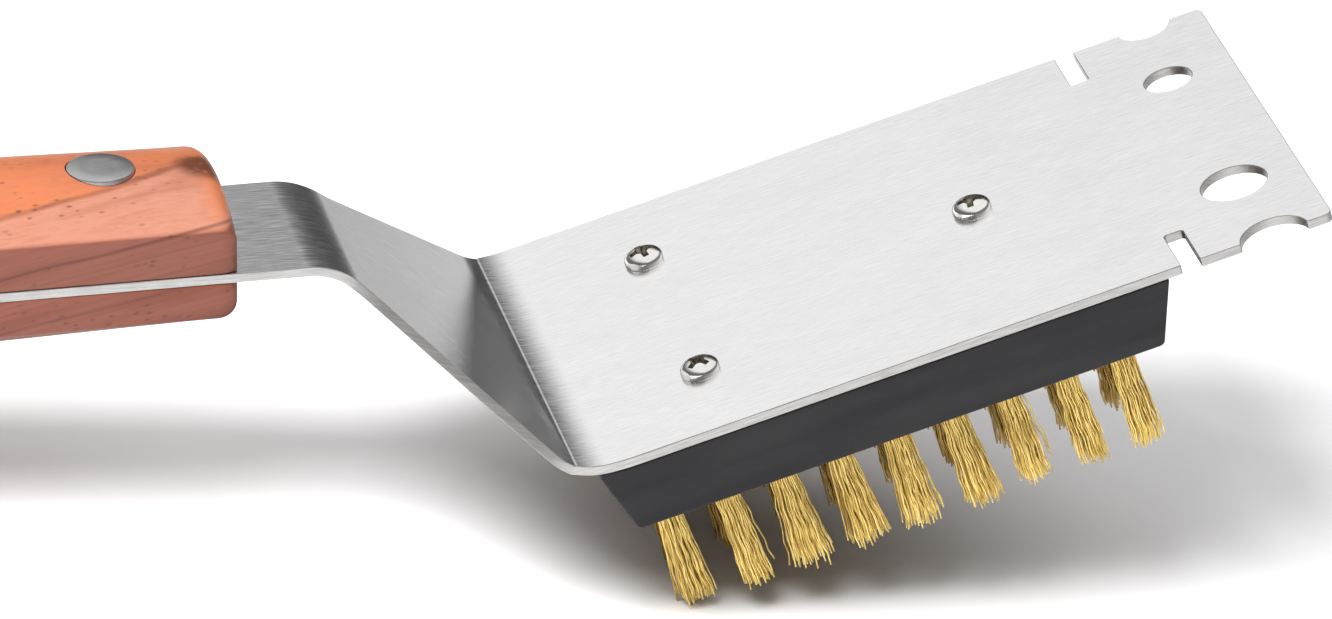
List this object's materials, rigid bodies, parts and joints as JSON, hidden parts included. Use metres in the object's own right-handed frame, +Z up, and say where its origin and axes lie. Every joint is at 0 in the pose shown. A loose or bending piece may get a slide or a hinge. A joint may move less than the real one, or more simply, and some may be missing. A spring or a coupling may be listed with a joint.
{
  "type": "grill cleaning brush",
  "caption": "Grill cleaning brush: a bent steel scraper plate and tang in one piece, a riveted wooden handle, and a screwed block of brass bristle tufts.",
  "frame": {"origin": "on the table, under the middle of the brush's overall length, on its centre line; the brush lies as it rests, on the tips of its first column of tufts and on its butt", "axes": "+X along the brush, from the butt towards the scraping edge; +Y across it, towards the small hole; +Z up from the table"},
  "size_m": [0.4386, 0.076, 0.074],
  "materials": {
    "steel_sheet": "brushed lengthwise",
    "handle_wood": "satin lacquer over reddish hardwood",
    "rivet_steel": "ground low, dull",
    "block_plastic": "matte moulded",
    "bristle_brass": "drawn wire",
    "anchor_wire": "plain",
    "screw_plating": "bright plated"
  },
  "bodies": {
    "root": {"spine": "steel_sheet", "handle_scale_upper": "handle_wood", "handle_scale_lower": "handle_wood", "brush_block": "block_plastic", "tuft_anchors": "anchor_wire", "rivet_post_1": "rivet_steel", "rivet_post_2": "rivet_steel", "rivet_post_3": "rivet_steel", "rivet_sleeve_1": "rivet_steel", "rivet_sleeve_2": "rivet_steel", "rivet_sleeve_3": "rivet_steel", "screw_1": "screw_plating", "screw_2": "screw_plating", "screw_3": "screw_plating", "tuft_1_1": "bristle_brass", "tuft_1_2": "bristle_brass", "tuft_1_3": "bristle_brass", "tuft_1_4": "bristle_brass", "tuft_1_5": "bristle_brass", "tuft_1_6": "bristle_brass", "tuft_1_7": "bristle_brass", "tuft_1_8": "bristle_brass", "tuft_1_9": "bristle_brass", "tuft_2_1": "bristle_brass", "tuft_2_2": "bristle_brass", "tuft_2_3": "bristle_brass", "tuft_2_4": "bristle_brass", "tuft_2_5": "bristle_brass", "tuft_2_6": "bristle_brass", "tuft_2_7": "bristle_brass", "tuft_2_8": "bristle_brass", "tuft_2_9": "bristle_brass", "tuft_3_1": "bristle_brass", "tuft_3_2": "bristle_brass", "tuft_3_3": "bristle_brass", "tuft_3_4": "bristle_brass", "tuft_3_5": "bristle_brass", "tuft_3_6": "bristle_brass", "tuft_3_7": "bristle_brass", "tuft_3_8": "bristle_brass", "tuft_3_9": "bristle_brass", "tuft_4_1": "bristle_brass", "tuft_4_2": "bristle_brass", "tuft_4_3": "bristle_brass", "tuft_4_4": "bristle_brass", "tuft_4_5": "bristle_brass", "tuft_4_6": "bristle_brass", "tuft_4_7": "bristle_brass", "tuft_4_8": "bristle_brass", "tuft_4_9": "bristle_brass", "tuft_5_1": "bristle_brass", "tuft_5_2": "bristle_brass", "tuft_5_3": "bristle_brass", "tuft_5_4": "bristle_brass", "tuft_5_5": "bristle_brass", "tuft_5_6": "bristle_brass", "tuft_5_7": "bristle_brass", "tuft_5_8": "bristle_brass", "tuft_5_9": "bristle_brass"}
  },
  "joints": []
}
